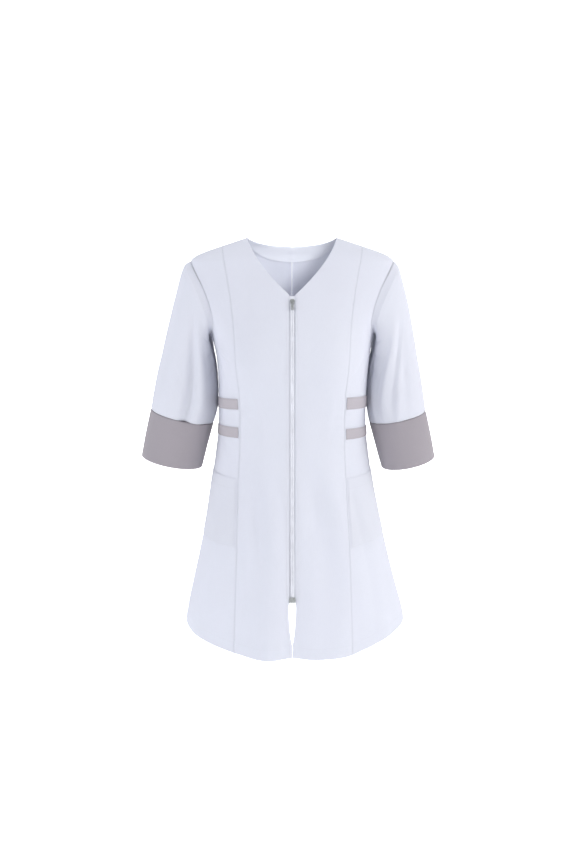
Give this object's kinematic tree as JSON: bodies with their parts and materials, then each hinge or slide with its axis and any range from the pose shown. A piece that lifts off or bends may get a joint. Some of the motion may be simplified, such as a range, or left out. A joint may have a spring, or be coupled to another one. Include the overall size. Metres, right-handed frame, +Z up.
{
  "type": "nurse uniform dress",
  "caption": "White thigh-length uniform dress, worn form: zip front, princess seams, elbow sleeves with grey cuffs, grey waist tabs and side pockets.",
  "frame": {"origin": "midway between the two points where the shoulder seams meet the neckline, where the dress hangs on a wearer", "axes": "+Z up, the front faces -Y, +X towards the wearer's left"},
  "size_m": [0.5982, 0.3383, 0.807],
  "materials": {
    "cloth_white": "matt plain-weave white uniform cloth",
    "cloth_grey": "matt plain-weave warm grey uniform cloth",
    "zip_tape": "woven white zip tape",
    "zip_chain": "white coil zip teeth",
    "zip_metal": "satin nickel-coloured zip metal"
  },
  "bodies": {
    "dress": {"front_centre_right": "cloth_white", "front_centre_left": "cloth_white", "front_side_right": "cloth_white", "front_side_left": "cloth_white", "back_right": "cloth_white", "back_left": "cloth_white", "back_neck_facing": "cloth_white", "sleeve_right": "cloth_white", "sleeve_left": "cloth_white", "cuff_right": "cloth_grey", "cuff_left": "cloth_grey", "waist_tab_upper_right": "cloth_grey", "waist_tab_lower_right": "cloth_grey", "waist_tab_upper_left": "cloth_grey", "waist_tab_lower_left": "cloth_grey", "pocket_right": "cloth_white", "pocket_left": "cloth_white", "zip_tape_right": "zip_tape", "zip_tape_left": "zip_tape", "zip_chain": "zip_chain", "zip_slider": "zip_metal", "zip_box": "zip_metal"},
    "pull": {"zip_pull": "zip_metal"}
  },
  "joints": [
    {"name": "zip_pull_swing", "type": "hinge", "parent": "dress", "child": "pull", "pos_m": [0, -0.10198, -0.11992], "axis": [-1, 0, 0], "range_deg": [0, 170]}
  ]
}
